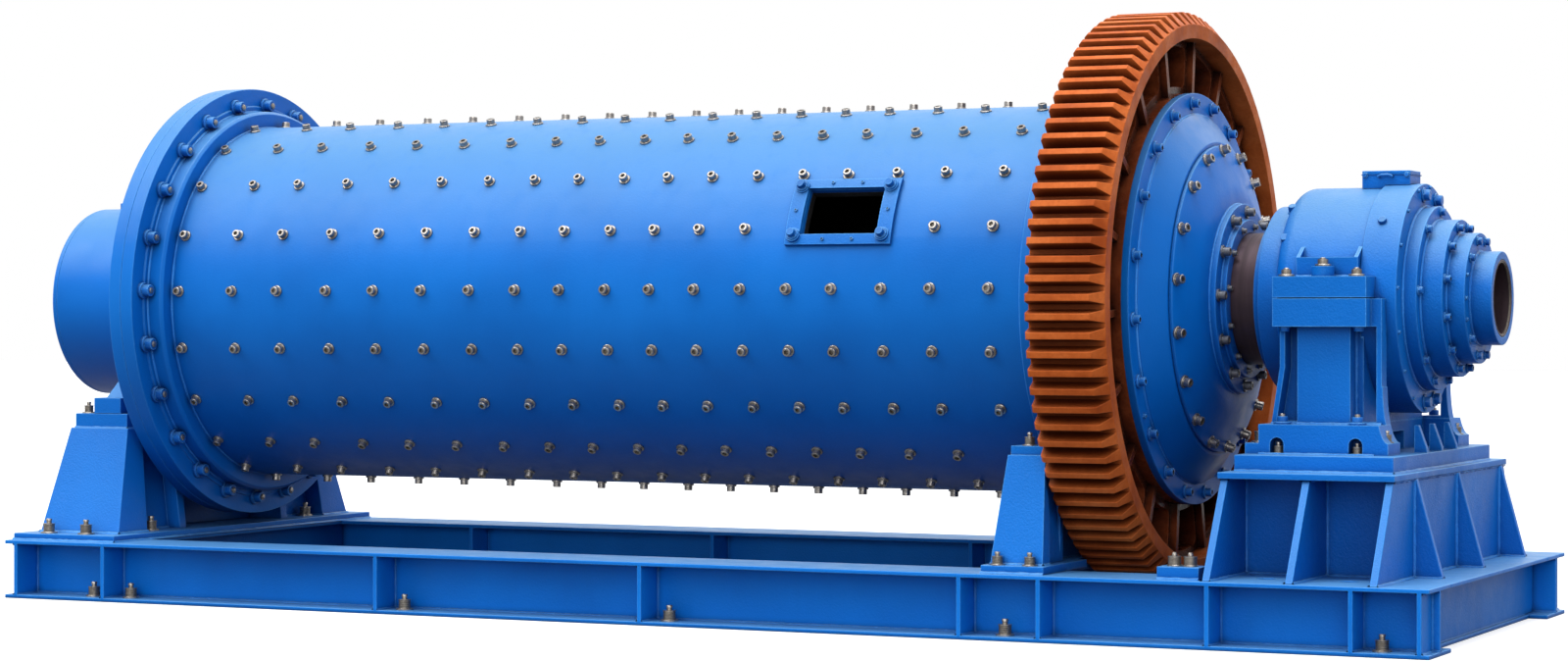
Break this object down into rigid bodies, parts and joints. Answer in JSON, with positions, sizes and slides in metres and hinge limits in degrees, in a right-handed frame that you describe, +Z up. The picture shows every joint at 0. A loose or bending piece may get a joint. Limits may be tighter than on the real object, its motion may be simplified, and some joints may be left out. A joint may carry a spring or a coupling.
{
  "type": "ball mill",
  "caption": "Horizontal ball mill: bolted drum with open manhole, girth gear, stepped bearing and pedestals on a welded beam frame.",
  "frame": {"origin": "centre of the footprint, on the floor under the frame", "axes": "+X along the drum towards the discharge end, +Y away from the manhole side at rest, +Z up"},
  "size_m": [6.452, 2.2438, 2.3919],
  "materials": {
    "blue_paint": "glossy machine paint",
    "gear_paint": "red-lead primer, semi-gloss",
    "journal_steel": "dark turned steel",
    "liner_steel": "matt, worn"
  },
  "bodies": {
    "frame": {"front_beam": "blue_paint", "rear_beam": "blue_paint", "feed_end_cross_beam": "blue_paint", "feed_cross_beam": "blue_paint", "middle_cross_beam": "blue_paint", "stand_cross_beam": "blue_paint", "discharge_end_cross_beam": "blue_paint", "deck_plate": "blue_paint", "feed_sole_plate": "blue_paint", "feed_pedestal_front": "blue_paint", "feed_pedestal_rear": "blue_paint", "feed_cross_wall": "blue_paint", "feed_saddle": "blue_paint", "feed_bearing_housing": "blue_paint", "feed_end_cover": "blue_paint", "middle_sole_plate": "blue_paint", "middle_pedestal_front": "blue_paint", "middle_pedestal_rear": "blue_paint", "keeper_blocks": "blue_paint", "stand_front_wall": "blue_paint", "stand_rear_wall": "blue_paint", "stand_end_wall": "blue_paint", "stand_inner_wall": "blue_paint", "stand_plate": "blue_paint", "bearing_bed": "blue_paint", "bearing_base": "blue_paint", "bearing_housing": "blue_paint", "bearing_cap": "blue_paint", "inspection_box": "blue_paint", "bearing_seal_ring": "blue_paint", "bearing_end_flange": "blue_paint", "bearing_outer_cover": "blue_paint", "outlet_sleeve": "blue_paint"},
    "drum": {"drum_shell": "blue_paint", "manhole_frame": "blue_paint", "feed_flange": "blue_paint", "feed_head": "blue_paint", "discharge_head": "blue_paint", "discharge_cone": "blue_paint", "hub_flange": "blue_paint", "shell_liner": "liner_steel", "feed_trunnion": "journal_steel", "girth_gear": "gear_paint", "gear_spider": "gear_paint", "discharge_trunnion": "journal_steel"}
  },
  "joints": [
    {"name": "drum_spin", "type": "hinge", "parent": "frame", "child": "drum", "pos_m": [0, 0, 1.27], "axis": [1, 0, 0], "continuous": true}
  ]
}
